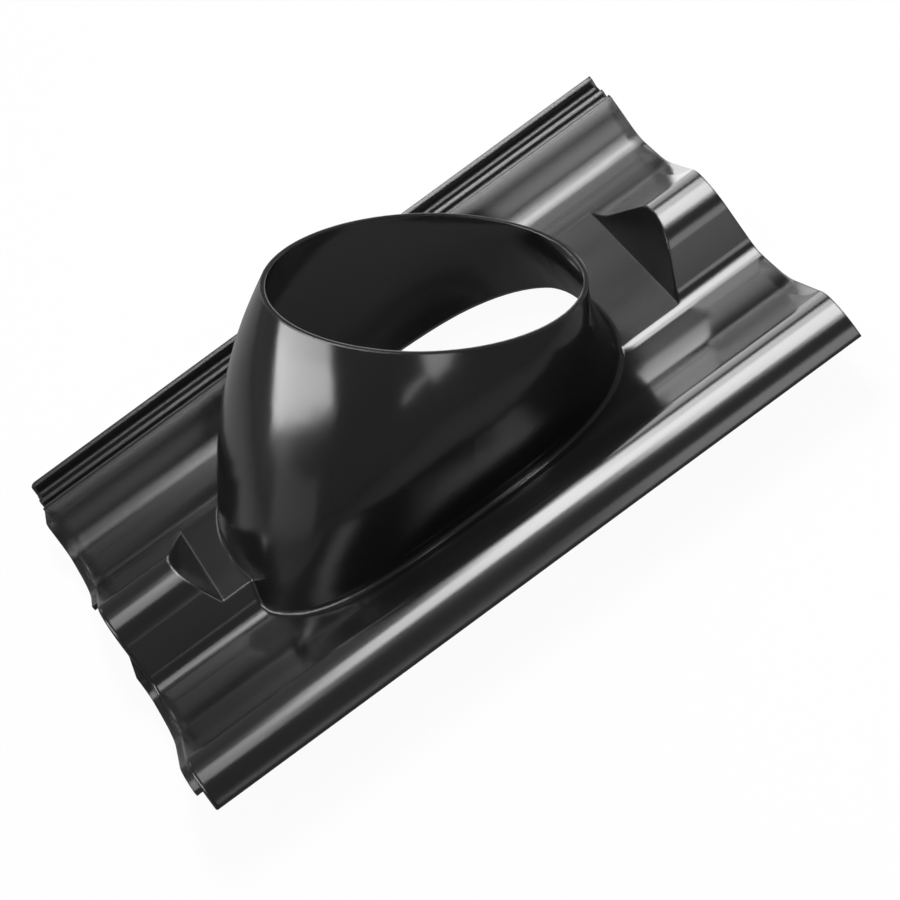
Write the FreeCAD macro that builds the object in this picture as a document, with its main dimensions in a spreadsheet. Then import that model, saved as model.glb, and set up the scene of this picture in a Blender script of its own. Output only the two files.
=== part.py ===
import FreeCAD, Part
import math
import os

Vector = FreeCAD.Vector

# Driving sizes in millimetres and degrees.
# X runs across the roof slope, +Y up the slope and +Z out of the roof.
SIZES = {
    "tile_width": 332.0,
    "tile_length": 420.0,
    "wall": 3.2,
    # wave of the tile: two rolls, each with a long rise and a steep fall
    "side_lap": 32.0,
    "crest_to_edge": 22.3,
    "crest_radius": 25.0,
    "wave_depth": 37.8,
    "fall_angle": 61.0,
    "floor_width": 39.7,
    "toe_radius": 80.0,
    "floor_radius": 13.0,
    "edge_drop": 14.8,
    # water ribs along the left edge, which lie under the next tile
    "rib_width": 4.6,
    "rib_draft": 0.7,
    "rib_round": 1.2,
    "rib_spacing": 13.6,
    "rib_drop": 12.8,
    "low_rib_step": 3.0,
    "groove_depth": 7.0,
    "ridge_width": 3.4,
    "corner_round": 6.0,
    # gap in the middle roll that takes the collar, from that roll's crest and from the collar's base
    "gap_left": 101.7,
    "gap_right": 62.3,
    "foot_apron_length": 7.2,
    "head_apron_length": 35.3,
    "foot_apron_rise": 15.5,
    "head_apron_rise": 1.5,
    "facet_angle": 62.0,
    "gap_round": 1.2,
    # collar on the middle crest: base from the foot, waist and rim set back up the slope from the base
    "collar_wall": 3.0,
    "base_along": 201.5,
    "base_sink": 1.0,
    "base_half_width": 84.0,
    "base_half_length": 130.0,
    "base_square": 2.5,
    "waist_setback": 26.0,
    "waist_height": 58.0,
    "waist_half_width": 94.0,
    "waist_half_length": 104.5,
    "waist_square": 2.45,
    "waist_tilt": 12.5,
    "rim_setback": 57.0,
    "rim_height": 91.5,
    "rim_half_width": 78.8,
    "rim_half_length": 92.3,
    "rim_square": 2.0,
    "rim_tilt": 31.3,
    "foot_round": 3.0,
    "mouth_setback": 10.0,
    "mouth_flare": 6.0,
    "mouth_inset": 1.0,
    "mouth_height": 9.2,
    # foot end: rounded nose, and lips that seat on the tile below, which end before or past a crest
    "nose_round": 2.4,
    "lip_reach": 4.0,
    "lip_seat": 2.2,
    "lip_thickness": 3.0,
    "lip_root": 3.0,
    "near_lip_taper": 16.0,
    "near_lip_start": 14.0,
    "near_lip_short": 31.7,
    "far_lip_taper": 6.0,
    "far_lip_start": 22.3,
    "far_lip_past": 11.0,
    # head end: low dams across the troughs, between the crests at either side
    "dam_length": 9.0,
    "dam_height": 2.5,
    "dam_root": 1.5,
    "dam_sink": 0.2,
    "dam_start": 44.0,
    "dam_short": 13.0,
    # nibs that hang on the batten, from the crest to their left and from the head
    "nib_drop": 13.8,
    "nib_start": 43.5,
    "nib_width": 27.0,
    "nib_length": 12.0,
    "nib_inset": 10.0,
    "nib_round": 3.0,
    # how far the stock reaches below the nibs and how far cuts run past it
    "stock_depth": 20.0,
    "overrun": 15.0,
}

doc = FreeCAD.newDocument("roof_tile_vent")
sheet = doc.addObject("Spreadsheet::Sheet", "sizes")
for row, (alias, value) in enumerate(SIZES.items(), start=1):
    sheet.set(f"A{row}", alias)
    sheet.set(f"B{row}", str(value))
    sheet.setAlias(f"B{row}", alias)
doc.recompute()


def size(alias):
    return float(sheet.get(alias))


# Places that follow from the driving sizes, with the origin under the middle of the tile
left_edge = -size("tile_width") / 2
right_edge = size("tile_width") / 2
outer_foot = -size("tile_length") / 2
head_end = size("tile_length") / 2
wave_foot = outer_foot + size("lip_reach")
wall = size("wall")
floor_top = size("nib_drop") + wall
crest_top = floor_top + size("wave_depth")
rib_top = crest_top - size("rib_drop")
groove = rib_top - size("groove_depth")
stock_bottom = -size("stock_depth")
crest_pitch = (size("tile_width") - size("side_lap")) / 2
crests = [right_edge - size("crest_to_edge") - back * crest_pitch for back in (2, 1, 0)]
middle_crest = "sizes.side_lap / 2 - sizes.crest_to_edge"
base_level = "sizes.nib_drop - sizes.base_sink"
gap_foot = outer_foot + size("base_along") - size("base_half_length") - size("foot_apron_length")
gap_head = outer_foot + size("base_along") + size("base_half_length") + size("head_apron_length")


def meeting_point(first, second):
    """Point where two lines, each a point and a direction in the X-Z section, cross."""
    (px, pz), (dx, dz) = first
    (qx, qz), (ex, ez) = second
    along = ((qx - px) * ez - (qz - pz) * ex) / (dx * ez - dz * ex)
    return px + along * dx, pz + along * dz


def rise_angle():
    """Slope of the long rise, which takes what the steep fall and the floor leave of one pitch."""
    fall = math.radians(size("fall_angle"))
    radius = size("crest_radius")
    below = size("wave_depth") - radius
    fall_run = radius * math.sin(fall) + (below + radius * math.cos(fall)) / math.tan(fall)
    run = crest_pitch - size("floor_width") - fall_run
    return math.atan2(below, run) + math.asin(radius / math.hypot(run, below))


def wave_lines(depth):
    """Straight flanks and floors of the wave, left to right, at a depth under the top skin."""
    rise = rise_angle()
    fall = math.radians(size("fall_angle"))
    reach = size("crest_radius") - depth
    centre_z = crest_top - size("crest_radius")
    lines = []
    for centre_x in crests:
        rising = (centre_x - reach * math.sin(rise), centre_z + reach * math.cos(rise))
        falling = (centre_x + reach * math.sin(fall), centre_z + reach * math.cos(fall))
        lines.append((rising, (math.cos(rise), math.sin(rise))))
        lines.append((falling, (math.cos(fall), -math.sin(fall))))
        lines.append(((0.0, floor_top - depth), (1.0, 0.0)))
    return lines[1:-1]


def wave_corners(depth):
    """Corners (x, z, radius) of the wave between its first and its last flank."""
    lines = wave_lines(depth)
    floor = size("floor_radius") + depth
    toe = size("toe_radius") + depth
    crest = size("crest_radius") - depth
    radii = [floor, toe, crest, floor, toe, crest]
    return [meeting_point(a, b) + (r,) for a, b, r in zip(lines, lines[1:], radii)]


def at_height(line, height):
    """Corner without radius where a line passes a height."""
    return meeting_point(line, ((0.0, height), (1.0, 0.0))) + (0.0,)


def at_side(line, x):
    """Corner without radius where a line passes a place across the tile."""
    return meeting_point(line, ((x, 0.0), (0.0, 1.0))) + (0.0,)


def rounded_outline(corners):
    """Closed outline of lines and arcs through corners given as (u, v, radius)."""
    count = len(corners)
    marks = []
    for i, (u, v, radius) in enumerate(corners):
        here = Vector(u, v, 0)
        if radius == 0:
            marks.append((here, here, None))
            continue
        before = (Vector(*corners[i - 1][:2], 0) - here).normalize()
        after = (Vector(*corners[(i + 1) % count][:2], 0) - here).normalize()
        half = before.getAngle(after) / 2
        inward = (before + after).normalize()
        centre = here + inward * (radius / math.sin(half))
        tangent = radius / math.tan(half)
        middle = centre - inward * radius
        marks.append((here + before * tangent, here + after * tangent, middle))
    pieces = []
    for i, (start, end, middle) in enumerate(marks):
        if middle is not None:
            pieces.append(Part.Arc(start, middle, end))
        following = marks[(i + 1) % count][0]
        if end.distanceToPoint(following) > 1e-6:
            pieces.append(Part.LineSegment(end, following))
    return pieces


def new_body(label):
    body = doc.addObject("PartDesign::Body", label)
    body.Label = label
    return body


def new_sketch(body, label, role, pieces, **offsets):
    """Sketch on one of the body's origin planes, moved by rules for x, y and z in that plane."""
    sketch = body.newObject("Sketcher::SketchObject", label)
    plane = next(f for f in body.Origin.OriginFeatures if f.Role == role)
    sketch.AttachmentSupport = [(plane, "")]
    sketch.MapMode = "FlatFace"
    sketch.addGeometry(pieces, False)
    for axis, rule in offsets.items():
        sketch.setExpression(f"AttachmentOffset.Base.{axis}", rule)
    sketch.Visibility = False
    return sketch


def section_sketch(body, label, corners, towards_foot):
    """Sketch across the tile, a distance from its middle towards the foot."""
    return new_sketch(body, label, "XZ_Plane", rounded_outline(corners), z=towards_foot)


def pad(body, sketch, length, backwards=False):
    feature = body.newObject("PartDesign::Pad", sketch.Name + "_pad")
    feature.Profile = sketch
    feature.setExpression("Length", length)
    feature.Reversed = backwards
    doc.recompute()
    return feature


def round_edges(body, label, radius, chosen):
    """Fillet on the edges of the body's last feature that the test picks."""
    base = body.Tip
    shape = base.Shape
    names = [f"Edge{i}" for i, edge in enumerate(shape.Edges, start=1) if chosen(shape, edge)]
    feature = body.newObject("PartDesign::Fillet", label)
    feature.Base = (base, names)
    feature.setExpression("Radius", f"sizes.{radius}")
    doc.recompute()


def top_corners():
    """Outline of everything under the top skin, with the water ribs at the left."""
    low_top = rib_top - size("low_rib_step")
    width, draft, bend = size("rib_width"), size("rib_draft"), size("rib_round")
    second = left_edge + size("rib_spacing")
    ridge_end = at_height(wave_lines(0.0)[0], rib_top)
    ridge = ridge_end[0] - size("ridge_width")
    corners = [(left_edge, stock_bottom, 0.0), (left_edge, rib_top, bend)]
    corners += [(left_edge + width - draft, rib_top, bend), (left_edge + width, groove, 0.0)]
    corners += [(second, groove, 0.0), (second + draft, low_top, bend)]
    corners += [(second + width - draft, low_top, bend), (second + width, groove, 0.0)]
    corners += [(ridge - draft, groove, 0.0), (ridge, rib_top, 0.0), ridge_end]
    corners += wave_corners(0.0)
    corners += [at_side(wave_lines(0.0)[-1], right_edge), (right_edge, stock_bottom, 0.0)]
    return corners


def under_corners():
    """Outline of the hollow under the tile, one wall below the top skin."""
    lines = wave_lines(wall)
    over = size("overrun")
    rib_under = groove - wall
    edge_bottom = crest_top - size("edge_drop")
    corners = [(left_edge - over, stock_bottom, 0.0), (left_edge - over, rib_under, 0.0)]
    corners.append(at_height(lines[0], rib_under))
    corners += wave_corners(wall)
    corners += [at_height(lines[-1], edge_bottom), (right_edge + over, edge_bottom, 0.0)]
    corners.append((right_edge + over, stock_bottom, 0.0))
    return corners


def gap_corners(depth):
    """Side view (y, z) of the cut through the middle roll: two aprons and two sloped facets."""
    slope = math.tan(math.radians(size("facet_angle")))
    shift = depth / math.sin(math.radians(size("facet_angle")))
    foot_z = floor_top + size("foot_apron_rise") - depth
    head_z = floor_top + size("head_apron_rise") - depth
    clear_z = crest_top + size("overrun")
    foot_y = gap_foot - shift + depth / slope
    head_y = gap_head + shift - depth / slope
    step_y = outer_foot + size("base_along")
    return [
        (foot_y, foot_z, 0.0),
        (step_y, foot_z, 0.0),
        (step_y, head_z, 0.0),
        (head_y, head_z, 0.0),
        (head_y + (clear_z - head_z) / slope, clear_z, 0.0),
        (foot_y - (clear_z - foot_z) / slope, clear_z, 0.0),
    ]


def cut_roll(body, depth):
    """Take the middle roll away where the collar stands."""
    outline = rounded_outline(gap_corners(depth))
    sketch = new_sketch(body, "roll_gap", "YZ_Plane", outline, z=f"{middle_crest} + sizes.gap_right")
    before = body.Tip.Shape.Volume
    feature = body.newObject("PartDesign::Pocket", "roll_gap_pocket")
    feature.Profile = sketch
    feature.setExpression("Length", "sizes.gap_right + sizes.gap_left")
    doc.recompute()
    if feature.Shape.Volume >= before:
        feature.Reversed = True
        doc.recompute()


def oval(half_width, half_length, square):
    """Closed curve between an ellipse (square 2) and a rounded rectangle (square above 2)."""
    points = []
    for i in range(24):
        turn = math.radians(i * 15)
        c, s = math.cos(turn), math.sin(turn)
        u = math.copysign(abs(c) ** (2 / square), c) * half_width
        v = math.copysign(abs(s) ** (2 / square), s) * half_length
        points.append(Vector(u, v, 0))
    curve = Part.BSplineCurve()
    curve.interpolate(points, PeriodicFlag=True)
    return [curve]


def oval_sketch(body, label, half_width, half_length, square, along, level):
    """Level oval on the middle crest, a distance from the foot and at a height, both given as rules."""
    pieces = oval(half_width, half_length, square)
    along_middle = f"{along} - sizes.tile_length / 2"
    return new_sketch(body, label, "XY_Plane", pieces, x=middle_crest, y=along_middle, z=level)


def lean_up_slope(sketch, tilt):
    """Turn a level sketch by the tilt, so that its head side sinks and its foot side rises."""
    offset = sketch.AttachmentOffset
    offset.Rotation = FreeCAD.Rotation(Vector(-1, 0, 0), size(tilt))
    sketch.AttachmentOffset = offset
    sketch.setExpression("AttachmentOffset.Rotation.Angle", f"sizes.{tilt}")


def raise_collar(body, depth):
    """Loft from the long base over the waist to the tilted rim, a depth inside the outer skin."""
    floor = "sizes.nib_drop + sizes.wall"
    places = {
        "base": ("sizes.base_along", base_level),
        "waist": ("sizes.base_along + sizes.waist_setback", f"{floor} + sizes.waist_height"),
        "rim": ("sizes.base_along + sizes.rim_setback", f"{floor} + sizes.rim_height"),
    }
    ovals = []
    for name, (along, level) in places.items():
        half_width = size(f"{name}_half_width") - depth
        half_length = size(f"{name}_half_length") - depth
        square = size(f"{name}_square")
        ovals.append(oval_sketch(body, f"collar_{name}", half_width, half_length, square, along, level))
    lean_up_slope(ovals[1], "waist_tilt")
    lean_up_slope(ovals[2], "rim_tilt")
    loft = body.newObject("PartDesign::AdditiveLoft", "collar")
    loft.Profile = ovals[0]
    loft.Sections = ovals[1:]
    doc.recompute()


def flare_mouth(body):
    """Widen the way into the collar from below by a cone that runs out on the collar's inner face."""
    half_width = size("base_half_width") - size("collar_wall")
    half_length = size("base_half_length") - size("collar_wall") - size("mouth_setback")
    along = "sizes.base_along + sizes.mouth_setback"
    ovals = []
    for label, more, level in (
        ("mouth_below", size("mouth_flare"), base_level),
        ("mouth_above", -size("mouth_inset"), f"{base_level} + sizes.mouth_height"),
    ):
        square = size("base_square")
        ovals.append(oval_sketch(body, label, half_width + more, half_length + more, square, along, level))
    flare = body.newObject("PartDesign::AdditiveLoft", "mouth_flare")
    flare.Profile = ovals[0]
    flare.Sections = ovals[1:]
    flare.Ruled = True
    doc.recompute()


def is_apron(face):
    """Level face of the roll gap, at the foot or the head side of the collar."""
    heights = [floor_top + size("foot_apron_rise"), floor_top + size("head_apron_rise")]
    box = face.BoundBox
    return box.ZLength < 0.01 and any(abs(box.ZMin - z) < 0.01 for z in heights)


def is_facet(face):
    """Sloped flat face that closes a cut end of the middle roll."""
    if face.Surface.TypeId != "Part::GeomPlane":
        return False
    normal = face.normalAt(0, 0)
    return abs(normal.x) < 0.01 and abs(normal.y) > 0.2 and abs(normal.z) > 0.2


def on_gap(shape, edge):
    """Edge of an apron or a facet, without the step that the collar hides."""
    faces = shape.ancestorsOfType(edge, Part.Face)
    at_step = abs(edge.BoundBox.Center.y - outer_foot - size("base_along")) < 0.01
    return not at_step and any(is_apron(face) or is_facet(face) for face in faces)


def on_collar_foot(shape, edge):
    """Edge where the free-form collar meets the tile."""
    kinds = [face.Surface.TypeId for face in shape.ancestorsOfType(edge, Part.Face)]
    free_form = kinds.count("Part::GeomBSplineSurface")
    return len(kinds) == 2 and free_form == 1 and edge.CenterOfMass.z < crest_top


def on_nose(shape, edge):
    """Edge of the wave's top skin at the foot end, right of the water ribs."""
    box = edge.BoundBox
    ridge = at_height(wave_lines(0.0)[0], rib_top)[0]
    at_foot = abs(box.YMin - wave_foot) < 0.01 and box.YLength < 0.01
    on_skin = box.ZMin > floor_top - 0.1 and box.XMin > ridge - 0.1
    return at_foot and on_skin and box.XLength > 0.1


def near_lip_edge(depth):
    """Line across the left trough, from under the ribs to the long rise, at a depth under the top skin."""
    lines = wave_lines(depth)
    height = groove - depth
    start = (left_edge + size("near_lip_start"), height, 0.0)
    end = at_side(lines[2], crests[1] - size("near_lip_short"))
    return [start, at_height(lines[0], height)] + wave_corners(depth)[0:2] + [end]


def far_lip_edge(depth):
    """Line across the right trough and over the last crest, at a depth under the top skin."""
    lines = wave_lines(depth)
    start = at_side(lines[3], crests[1] + size("far_lip_start"))
    return [start] + wave_corners(depth)[3:6] + [at_side(lines[6], right_edge)]


def dam_band(trough, height):
    """Strip over a trough's floor and rise that stands up in the middle and is sunk at both ends."""
    floor = 3 * trough + 1
    start = crests[trough] + size("dam_start")
    end = crests[trough + 1] - size("dam_short")
    edges = []
    for end_depth, middle_depth in ((size("dam_sink"), -height), (size("dam_root"), size("dam_root"))):
        lines = wave_lines(end_depth)
        middle = wave_corners(middle_depth)[floor]
        edges.append([at_side(lines[floor], start), middle, at_side(lines[floor + 1], end)])
    return edges[0] + edges[1][::-1]


def cut_away(body, label, corners):
    """Take away what lies inside an outline of the plan (x, y, radius), through the whole height."""
    feature = body.newObject("PartDesign::Pocket", f"{label}_pocket")
    feature.Profile = new_sketch(body, label, "XY_Plane", rounded_outline(corners))
    feature.Type = "ThroughAll"
    feature.Midplane = True
    doc.recompute()


# Outer skin: everything under the top faces
upper = new_body("outer_skin")
wave_top = section_sketch(upper, "wave_top", top_corners(), "sizes.tile_length / 2 - sizes.lip_reach")
pad(upper, wave_top, "sizes.tile_length - sizes.lip_reach", True)
past = size("overrun")
waste = [(left_edge, wave_foot, size("corner_round"))]
waste += [(left_edge, wave_foot + past, 0.0), (left_edge - past, wave_foot + past, 0.0)]
waste += [(left_edge - past, wave_foot - past, 0.0), (left_edge + past, wave_foot - past, 0.0)]
waste.append((left_edge + past, wave_foot, 0.0))
cut_away(upper, "corner_waste", waste)
cut_roll(upper, 0.0)
round_edges(upper, "gap_edge_round", "gap_round", on_gap)
raise_collar(upper, 0.0)
round_edges(upper, "collar_foot_round", "foot_round", on_collar_foot)
round_edges(upper, "nose_edge_round", "nose_round", on_nose)

# Hollow: the same form one wall further in, and open below
lower = new_body("hollow")
past_foot = "sizes.tile_length / 2 + sizes.overrun"
wave_under = section_sketch(lower, "wave_under", under_corners(), past_foot)
pad(lower, wave_under, "sizes.tile_length + 2 * sizes.overrun", True)
cut_roll(lower, wall)
raise_collar(lower, size("collar_wall"))
flare_mouth(lower)

shell = doc.addObject("Part::Cut", "shell")
shell.Base = upper
shell.Tool = lower
pieces = [shell]

# Foot lips, dams and nibs, one of each in either trough
lip_end = crests[2] + size("far_lip_past")
for trough, (place, lip_edge) in enumerate((("near", near_lip_edge), ("far", far_lip_edge))):
    seat = size("lip_seat")
    band = lip_edge(seat) + lip_edge(seat + size("lip_thickness"))[::-1]
    lip = new_body(f"{place}_lip")
    lip_sketch = section_sketch(lip, "lip_band", band, "sizes.tile_length / 2")
    pad(lip, lip_sketch, "sizes.lip_reach + sizes.lip_root", True)
    start = band[0][0]
    taper_end = start + size(f"{place}_lip_taper")
    taper = [(start, outer_foot), (taper_end, outer_foot), (start, wave_foot)]
    cut_away(lip, "lip_taper", [corner + (0.0,) for corner in taper])
    if place == "far":
        spare = [(lip_end, outer_foot), (right_edge, outer_foot), (right_edge, 0.0), (lip_end, 0.0)]
        cut_away(lip, "lip_spare", [corner + (0.0,) for corner in spare])

    dam = new_body(f"{place}_dam")
    flush = dam_band(trough, -size("dam_sink"))
    raised = dam_band(trough, size("dam_height"))
    dam_loft = dam.newObject("PartDesign::AdditiveLoft", "dam_ramp")
    dam_loft.Profile = section_sketch(dam, "flush_band", flush, "sizes.dam_length - sizes.tile_length / 2")
    dam_loft.Sections = [section_sketch(dam, "raised_band", raised, "-sizes.tile_length / 2")]
    dam_loft.Ruled = True

    nib = new_body(f"{place}_nib")
    start = crests[trough] + size("nib_start")
    end = start + size("nib_width")
    head_side = head_end - size("nib_inset")
    foot_side = head_side - size("nib_length")
    corners = [(start, foot_side), (end, foot_side), (end, head_side), (start, head_side)]
    bend = size("nib_round")
    nib_outline = rounded_outline([corner + (bend,) for corner in corners])
    pad(nib, new_sketch(nib, "nib_plan", "XY_Plane", nib_outline), "sizes.nib_drop + sizes.wall * 3 / 4")
    pieces += [lip, dam, nib]

tile = doc.addObject("Part::MultiFuse", "vent_tile")
tile.Label = "vent_tile"
tile.Shapes = pieces
tile.Refine = True
doc.recompute()

for item in doc.Objects:
    if "Invalid" in item.State or "Error" in item.State:
        raise RuntimeError(f"{item.Label} did not build: {item.State}")
if tile.Shape.isNull() or not tile.Shape.isValid() or len(tile.Shape.Solids) != 1:
    raise RuntimeError(f"{tile.Label} is not one valid solid")

os.makedirs("parts", exist_ok=True)
tile.Shape.exportStep(f"parts/{tile.Label}.step")
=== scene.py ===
import math

import bpy
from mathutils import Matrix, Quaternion, Vector

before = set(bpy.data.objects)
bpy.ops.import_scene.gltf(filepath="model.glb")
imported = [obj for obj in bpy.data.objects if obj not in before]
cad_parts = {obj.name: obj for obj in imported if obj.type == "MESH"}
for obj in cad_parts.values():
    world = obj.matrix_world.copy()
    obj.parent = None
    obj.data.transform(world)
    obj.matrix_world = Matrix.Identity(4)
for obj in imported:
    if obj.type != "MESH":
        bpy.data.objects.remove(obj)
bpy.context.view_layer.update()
scene = bpy.context.scene


# Vent tile: a two-roll roof tile with an oblique pipe collar, injection moulded in one piece of black
# plastic. The polished tool gives it a soft gloss, with faint flow marks along the fill and a fine even
# grain. It hangs on a batten by its two nibs, and its ribs lie under the next tile.
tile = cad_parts["vent_tile"]
rib_edge_x = -0.138
flank_top_x = -0.130
rib_rounding = 0.003
edge_rounding = 0.0012
fold_x = -0.123
fold_half_width = 0.009
fold_fade_end = 0.014
fold_rounding = 0.009
crease_angle = math.radians(22)

plastic = bpy.data.materials.new("black_moulded_plastic")
plastic.use_nodes = True
nodes = plastic.node_tree.nodes
links = plastic.node_tree.links
shader = nodes["Principled BSDF"]
shader.inputs["IOR"].default_value = 1.55

# Flow marks: long clouds along the tile that shift the black and the gloss a little.
place = nodes.new("ShaderNodeTexCoord")
fill_way = nodes.new("ShaderNodeMapping")
fill_way.inputs["Scale"].default_value = (2.2, 0.55, 1.0)
links.new(place.outputs["Object"], fill_way.inputs["Vector"])
flow = nodes.new("ShaderNodeTexNoise")
flow.inputs["Scale"].default_value = 9.0
flow.inputs["Detail"].default_value = 5.0
links.new(fill_way.outputs["Vector"], flow.inputs["Vector"])

bloom = nodes.new("ShaderNodeMix")
bloom.data_type = "RGBA"
bloom.inputs["A"].default_value = (0.007, 0.007, 0.0073, 1.0)
bloom.inputs["B"].default_value = (0.015, 0.015, 0.0156, 1.0)
links.new(flow.outputs["Fac"], bloom.inputs["Factor"])
links.new(bloom.outputs["Result"], shader.inputs["Base Color"])

gloss = nodes.new("ShaderNodeMapRange")
gloss.inputs["From Min"].default_value = 0.3
gloss.inputs["From Max"].default_value = 0.7
gloss.inputs["To Min"].default_value = 0.13
gloss.inputs["To Max"].default_value = 0.20
links.new(flow.outputs["Fac"], gloss.inputs["Value"])
links.new(gloss.outputs["Result"], shader.inputs["Roughness"])

# Softened edges: widest in the fold of the left trough, less at the ribs and slight elsewhere.
across = nodes.new("ShaderNodeSeparateXYZ")
links.new(place.outputs["Object"], across.inputs["Vector"])
rib_round = nodes.new("ShaderNodeMapRange")
rib_round.inputs["From Min"].default_value = rib_edge_x
rib_round.inputs["From Max"].default_value = flank_top_x
rib_round.inputs["To Min"].default_value = rib_rounding
rib_round.inputs["To Max"].default_value = edge_rounding
links.new(across.outputs["X"], rib_round.inputs["Value"])
from_fold = nodes.new("ShaderNodeMath")
from_fold.operation = "SUBTRACT"
from_fold.inputs[1].default_value = fold_x
links.new(across.outputs["X"], from_fold.inputs[0])
off_fold = nodes.new("ShaderNodeMath")
off_fold.operation = "ABSOLUTE"
links.new(from_fold.outputs["Value"], off_fold.inputs[0])
fold_round = nodes.new("ShaderNodeMapRange")
fold_round.inputs["From Min"].default_value = fold_half_width
fold_round.inputs["From Max"].default_value = fold_fade_end
fold_round.inputs["To Min"].default_value = fold_rounding
fold_round.inputs["To Max"].default_value = 0.0
links.new(off_fold.outputs["Value"], fold_round.inputs["Value"])
widest = nodes.new("ShaderNodeMath")
widest.operation = "MAXIMUM"
links.new(rib_round.outputs["Result"], widest.inputs[0])
links.new(fold_round.outputs["Result"], widest.inputs[1])
edge_round = nodes.new("ShaderNodeBevel")
links.new(widest.outputs["Value"], edge_round.inputs["Radius"])

# Grain: a fine even roughness of the tool's skin.
grain = nodes.new("ShaderNodeTexNoise")
grain.inputs["Scale"].default_value = 1400.0
grain.inputs["Detail"].default_value = 2.0
links.new(place.outputs["Object"], grain.inputs["Vector"])
grain_bump = nodes.new("ShaderNodeBump")
grain_bump.inputs["Strength"].default_value = 0.05
grain_bump.inputs["Distance"].default_value = 0.0002
links.new(edge_round.outputs["Normal"], grain_bump.inputs["Normal"])
links.new(grain.outputs["Fac"], grain_bump.inputs["Height"])
links.new(grain_bump.outputs["Normal"], shader.inputs["Normal"])

tile.data.materials.clear()
tile.data.materials.append(plastic)
bpy.context.view_layer.objects.active = tile
tile.select_set(True)
bpy.ops.object.shade_smooth_by_angle(angle=crease_angle)
tile.select_set(False)


# Studio floor: a white paper sheet that shows white to the camera and keeps the tile's shadow. It shows
# darker in the tile's reflections, and from below it is clear so that the underside can be seen. It lies
# a hair under the nibs.
reach = 30
below_nibs = 0.0002
corners = [(-reach, -reach, 0), (reach, -reach, 0), (reach, reach, 0), (-reach, reach, 0)]
paper_mesh = bpy.data.meshes.new("paper_floor")
paper_mesh.from_pydata(corners, [], [(0, 1, 2, 3)])
paper = bpy.data.objects.new("paper_floor", paper_mesh)
paper.location.z = -below_nibs
scene.collection.objects.link(paper)

white = bpy.data.materials.new("white_paper")
white.use_nodes = True
nodes = white.node_tree.nodes
links = white.node_tree.links
nodes.remove(nodes["Principled BSDF"])
matt = nodes.new("ShaderNodeBsdfDiffuse")
glow = nodes.new("ShaderNodeEmission")
ray = nodes.new("ShaderNodeLightPath")
tint = nodes.new("ShaderNodeMix")
tint.data_type = "RGBA"
tint.inputs["A"].default_value = (0.9, 0.9, 0.9, 1.0)
tint.inputs["B"].default_value = (0.32, 0.32, 0.32, 1.0)
links.new(ray.outputs["Is Glossy Ray"], tint.inputs["Factor"])
links.new(tint.outputs["Result"], matt.inputs["Color"])
mirrored = nodes.new("ShaderNodeMath")
mirrored.operation = "MAXIMUM"
links.new(ray.outputs["Is Glossy Ray"], mirrored.inputs[0])
links.new(ray.outputs["Is Transmission Ray"], mirrored.inputs[1])
faint = nodes.new("ShaderNodeMath")
faint.operation = "MULTIPLY"
faint.inputs[1].default_value = 0.06
links.new(mirrored.outputs["Value"], faint.inputs[0])
seen = nodes.new("ShaderNodeMath")
seen.operation = "MULTIPLY_ADD"
seen.inputs[1].default_value = 0.95
links.new(ray.outputs["Is Camera Ray"], seen.inputs[0])
links.new(faint.outputs["Value"], seen.inputs[2])
blend = nodes.new("ShaderNodeMixShader")
links.new(seen.outputs["Value"], blend.inputs["Fac"])
links.new(matt.outputs["BSDF"], blend.inputs[1])
links.new(glow.outputs["Emission"], blend.inputs[2])
side = nodes.new("ShaderNodeNewGeometry")
clear = nodes.new("ShaderNodeBsdfTransparent")
one_way = nodes.new("ShaderNodeMixShader")
links.new(side.outputs["Backfacing"], one_way.inputs["Fac"])
links.new(blend.outputs["Shader"], one_way.inputs[1])
links.new(clear.outputs["BSDF"], one_way.inputs[2])
links.new(one_way.outputs["Shader"], nodes["Material Output"].inputs["Surface"])
paper_mesh.materials.append(white)


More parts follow.
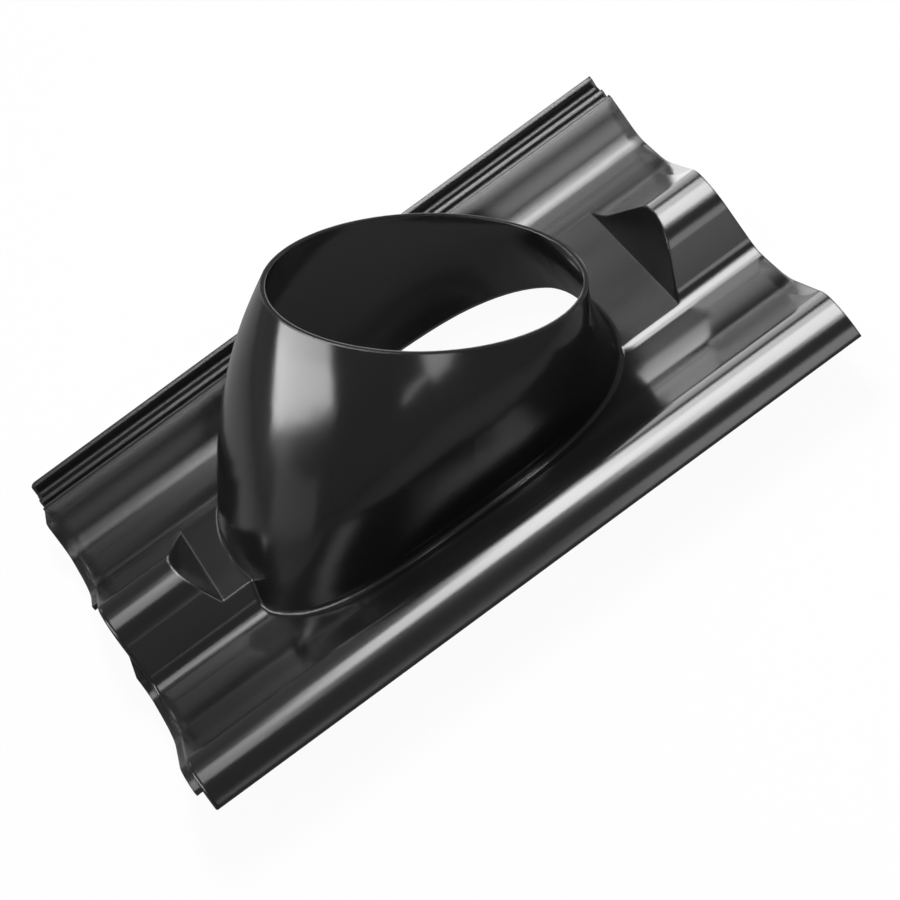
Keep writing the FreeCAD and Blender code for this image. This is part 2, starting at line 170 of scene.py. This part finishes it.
# Studio lamps: flat soft panels, each with its middle, the point it faces, width, height, turn and glow.
# A bank of panels overhead fades towards the foot, and weaker ones stand around the tile. Some show in
# reflections only, so that the light on the tile stays at a plain level.
panels = {
    "overhead": ((-0.12, 0.375, 1.5), (-0.12, 0.375, 0.0), 0.95, 0.35, 0.0, 16.0),
    "overhead_right": ((0.47, 0.49, 1.5), (0.47, 0.49, 0.0), 0.24, 0.22, 0.0, 8.0),
    "overhead_left": ((-1.00, 0.375, 1.5), (-1.00, 0.375, 0.0), 0.80, 0.35, 0.0, 9.5),
    "overhead_middle": ((-0.60, 0.10, 1.5), (-0.60, 0.10, 0.0), 1.20, 0.20, 0.0, 16.0),
    "overhead_edge": ((-1.50, 0.10, 1.5), (-1.50, 0.10, 0.0), 0.60, 0.20, 0.0, 6.5),
    "overhead_foot": ((-0.36, -0.10, 1.5), (-0.36, -0.10, 0.0), 0.80, 0.20, 0.0, 11.0),
    "overhead_end": ((0.0, -0.30, 1.5), (0.0, -0.30, 0.0), 0.80, 0.20, 0.0, 4.2),
    "foot": ((-0.26, -2.0, 1.27), (0.0, 0.0, 0.05), 2.4, 0.46, 28.0, 9.4),
    "foot_low": ((-0.10, -2.0, 0.30), (0.0, 0.0, 0.05), 1.4, 0.60, 0.0, 0.4),
    "camera_side": ((2.0, -0.12, 0.96), (0.0, 0.0, 0.10), 0.62, 0.10, 0.0, 3.0),
    "right_head": ((2.0, 0.50, 1.14), (0.0, 0.10, 0.05), 0.60, 0.70, 0.0, 3.6),
    "left_middle": ((-2.0, 0.10, 0.90), (0.0, 0.10, 0.05), 0.20, 0.80, 0.0, 5.0),
    "left_head": ((-2.0, 0.42, 0.63), (0.0, 0.10, 0.05), 0.45, 1.25, 0.0, 2.6),
    "left_foot": ((-2.0, -0.85, 0.85), (0.0, 0.0, 0.05), 0.50, 0.50, 0.0, 1.8),
    "head_card": ((-0.80, 0.556, 0.003), (-0.80, 0.556, 1.0), 1.50, 0.688, 0.0, 1.6),
}
mirrored_only = ("overhead_left", "overhead_middle", "overhead_foot", "foot")
for name, (middle, target, width, height, turn, radiance) in panels.items():
    lamp = bpy.data.lights.new(f"{name}_panel", "AREA")
    lamp.shape = "RECTANGLE"
    lamp.size = width
    lamp.size_y = height
    lamp.energy = radiance * math.pi * width * height
    holder = bpy.data.objects.new(f"{name}_panel", lamp)
    holder.location = middle
    holder.rotation_mode = "QUATERNION"
    facing = (Vector(target) - Vector(middle)).to_track_quat("-Z", "Y")
    holder.rotation_quaternion = facing @ Quaternion((0, 0, 1), math.radians(turn))
    holder.visible_camera = False
    holder.visible_diffuse = name not in mirrored_only
    scene.collection.objects.link(holder)

# The room is a dim grey all round, and white to the camera alone.
world = bpy.data.worlds.new("dim_studio")
world.use_nodes = True
nodes = world.node_tree.nodes
links = world.node_tree.links
ray = nodes.new("ShaderNodeLightPath")
sky = nodes.new("ShaderNodeMix")
sky.data_type = "RGBA"
sky.inputs["A"].default_value = (0.19, 0.19, 0.19, 1.0)
sky.inputs["B"].default_value = (1.0, 1.0, 1.0, 1.0)
links.new(ray.outputs["Is Camera Ray"], sky.inputs["Factor"])
links.new(sky.outputs["Result"], nodes["Background"].inputs["Color"])
scene.world = world


# Camera: a long lens from the right of the tile, rolled so that the tile lies across the frame. Place, aim,
# roll and lens were fitted to the photo.
camera_place = Vector((1.39362, -0.04512, 1.14266))
camera_aim = Vector((0.04084, 0.00472, 0.040))
camera_roll = math.radians(-34.952)
camera_data = bpy.data.cameras.new("photo_camera")
camera_data.sensor_width = 36.0
camera_data.lens = 127.04
camera = bpy.data.objects.new("photo_camera", camera_data)
camera.location = camera_place
camera.rotation_mode = "QUATERNION"
facing = (camera_aim - camera_place).to_track_quat("-Z", "Y")
camera.rotation_quaternion = facing @ Quaternion((0, 0, 1), camera_roll)
scene.collection.objects.link(camera)
scene.camera = camera
scene.view_settings.view_transform = "Standard"
